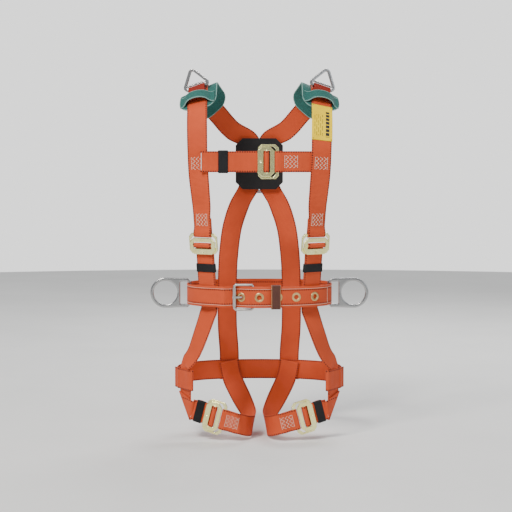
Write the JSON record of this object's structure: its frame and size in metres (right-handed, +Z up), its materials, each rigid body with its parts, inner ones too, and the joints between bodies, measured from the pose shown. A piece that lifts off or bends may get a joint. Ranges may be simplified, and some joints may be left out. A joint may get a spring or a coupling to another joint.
{
  "type": "safety harness",
  "caption": "Full-body safety harness with belt, chest and leg straps, shoulder pads, adjuster buckles, side rings, shoulder rings and a dorsal ring.",
  "frame": {"origin": "centre of the waist loop, where the wearer stands", "axes": "+Z up along the wearer, -Y the front of the wearer, -X their right side"},
  "size_m": [0.483, 0.2979, 0.8066],
  "materials": {
    "webbing": "woven polyester webbing",
    "loop_webbing": "woven polyester webbing",
    "pad": "coated fabric",
    "elastic": "ribbed elastic",
    "leather": "satin",
    "steel": "plated",
    "zinc": "yellow passivated",
    "brass": "polished",
    "plastic": "moulded",
    "label": "printed"
  },
  "bodies": {
    "webbing": {"right_shoulder_strap": "webbing", "left_shoulder_strap": "webbing", "right_hip_strap": "webbing", "left_hip_strap": "webbing", "right_leg_strap": "webbing", "left_leg_strap": "webbing", "sub_pelvic_strap": "webbing", "chest_strap": "webbing", "chest_strap_short": "webbing", "belt_strap": "webbing", "belt_buckle_loop": "webbing", "belt_eyelets": "brass", "belt_buckle_frame": "steel", "right_shoulder_pad": "pad", "left_shoulder_pad": "pad", "right_ring_loop": "loop_webbing", "left_ring_loop": "loop_webbing", "label": "label", "chest_frame": "zinc", "chest_plate": "zinc", "right_torso_frame": "zinc", "right_torso_plate": "zinc", "left_torso_frame": "zinc", "left_torso_plate": "zinc", "right_leg_frame": "zinc", "right_leg_plate": "zinc", "left_leg_frame": "zinc", "left_leg_plate": "zinc", "dorsal_plate": "plastic"},
    "right_side_ring": {"right_side_ring": "steel"},
    "left_side_ring": {"left_side_ring": "steel"},
    "dorsal_ring": {"dorsal_ring": "steel"},
    "right_shoulder_ring": {"right_shoulder_ring": "steel"},
    "left_shoulder_ring": {"left_shoulder_ring": "steel"},
    "roller": {"belt_buckle_roller": "steel"},
    "prong": {"belt_buckle_prong": "steel"},
    "chest_keeper": {"chest_keeper": "elastic"},
    "right_torso_keeper": {"right_torso_keeper": "elastic"},
    "left_torso_keeper": {"left_torso_keeper": "elastic"},
    "right_leg_keeper": {"right_leg_keeper": "elastic"},
    "left_leg_keeper": {"left_leg_keeper": "elastic"},
    "belt_keeper": {"belt_keeper": "leather"}
  },
  "joints": [
    {"name": "right_side_ring_swing", "type": "hinge", "parent": "webbing", "child": "right_side_ring", "pos_m": [-0.154, 0, 0], "axis": [0, 0, 1], "range_deg": [-50, 50]},
    {"name": "left_side_ring_swing", "type": "hinge", "parent": "webbing", "child": "left_side_ring", "pos_m": [0.154, 0, 0], "axis": [0, 0, -1], "range_deg": [-50, 50]},
    {"name": "dorsal_ring_lift", "type": "hinge", "parent": "webbing", "child": "dorsal_ring", "pos_m": [0, 0.118, 0.285], "axis": [1, 0, 0], "range_deg": [0, 95]},
    {"name": "right_shoulder_ring_swing", "type": "hinge", "parent": "webbing", "child": "right_shoulder_ring", "pos_m": [-0.13656, -0.00684, 0.4521], "axis": [0.9341, -0.1749, 0.3113], "range_deg": [-35, 45]},
    {"name": "left_shoulder_ring_swing", "type": "hinge", "parent": "webbing", "child": "left_shoulder_ring", "pos_m": [0.13656, -0.00684, 0.4521], "axis": [0.9341, 0.1749, -0.3113], "range_deg": [-35, 45]},
    {"name": "roller_spin", "type": "hinge", "parent": "webbing", "child": "roller", "pos_m": [-0.05399, -0.11009, 0], "axis": [0, 0, -1], "continuous": true},
    {"name": "prong_play", "type": "hinge", "parent": "webbing", "child": "prong", "pos_m": [-0.01401, -0.11159, 0], "axis": [0, 0, 1], "range_deg": [0, 0.7]},
    {"name": "chest_keeper_slide", "type": "slide", "parent": "webbing", "child": "chest_keeper", "axis": [1, 0, 0], "range_m": [-0.002, 0.045]},
    {"name": "right_torso_keeper_slide", "type": "slide", "parent": "webbing", "child": "right_torso_keeper", "axis": [-0.0581, -0.0907, 0.9942], "range_m": [-0.02, 0.018]},
    {"name": "left_torso_keeper_slide", "type": "slide", "parent": "webbing", "child": "left_torso_keeper", "axis": [0.0581, -0.0907, 0.9942], "range_m": [-0.02, 0.018]},
    {"name": "right_leg_keeper_slide", "type": "slide", "parent": "webbing", "child": "right_leg_keeper", "axis": [0.9303, -0.2668, -0.2516], "range_m": [-0.002, 0.004]},
    {"name": "left_leg_keeper_slide", "type": "slide", "parent": "webbing", "child": "left_leg_keeper", "axis": [-0.9303, -0.2668, -0.2516], "range_m": [-0.002, 0.004]},
    {"name": "belt_keeper_slide", "type": "slide", "parent": "webbing", "child": "belt_keeper", "axis": [0.9963, 0.0862, 0], "range_m": [-0.004, 0.004]}
  ]
}
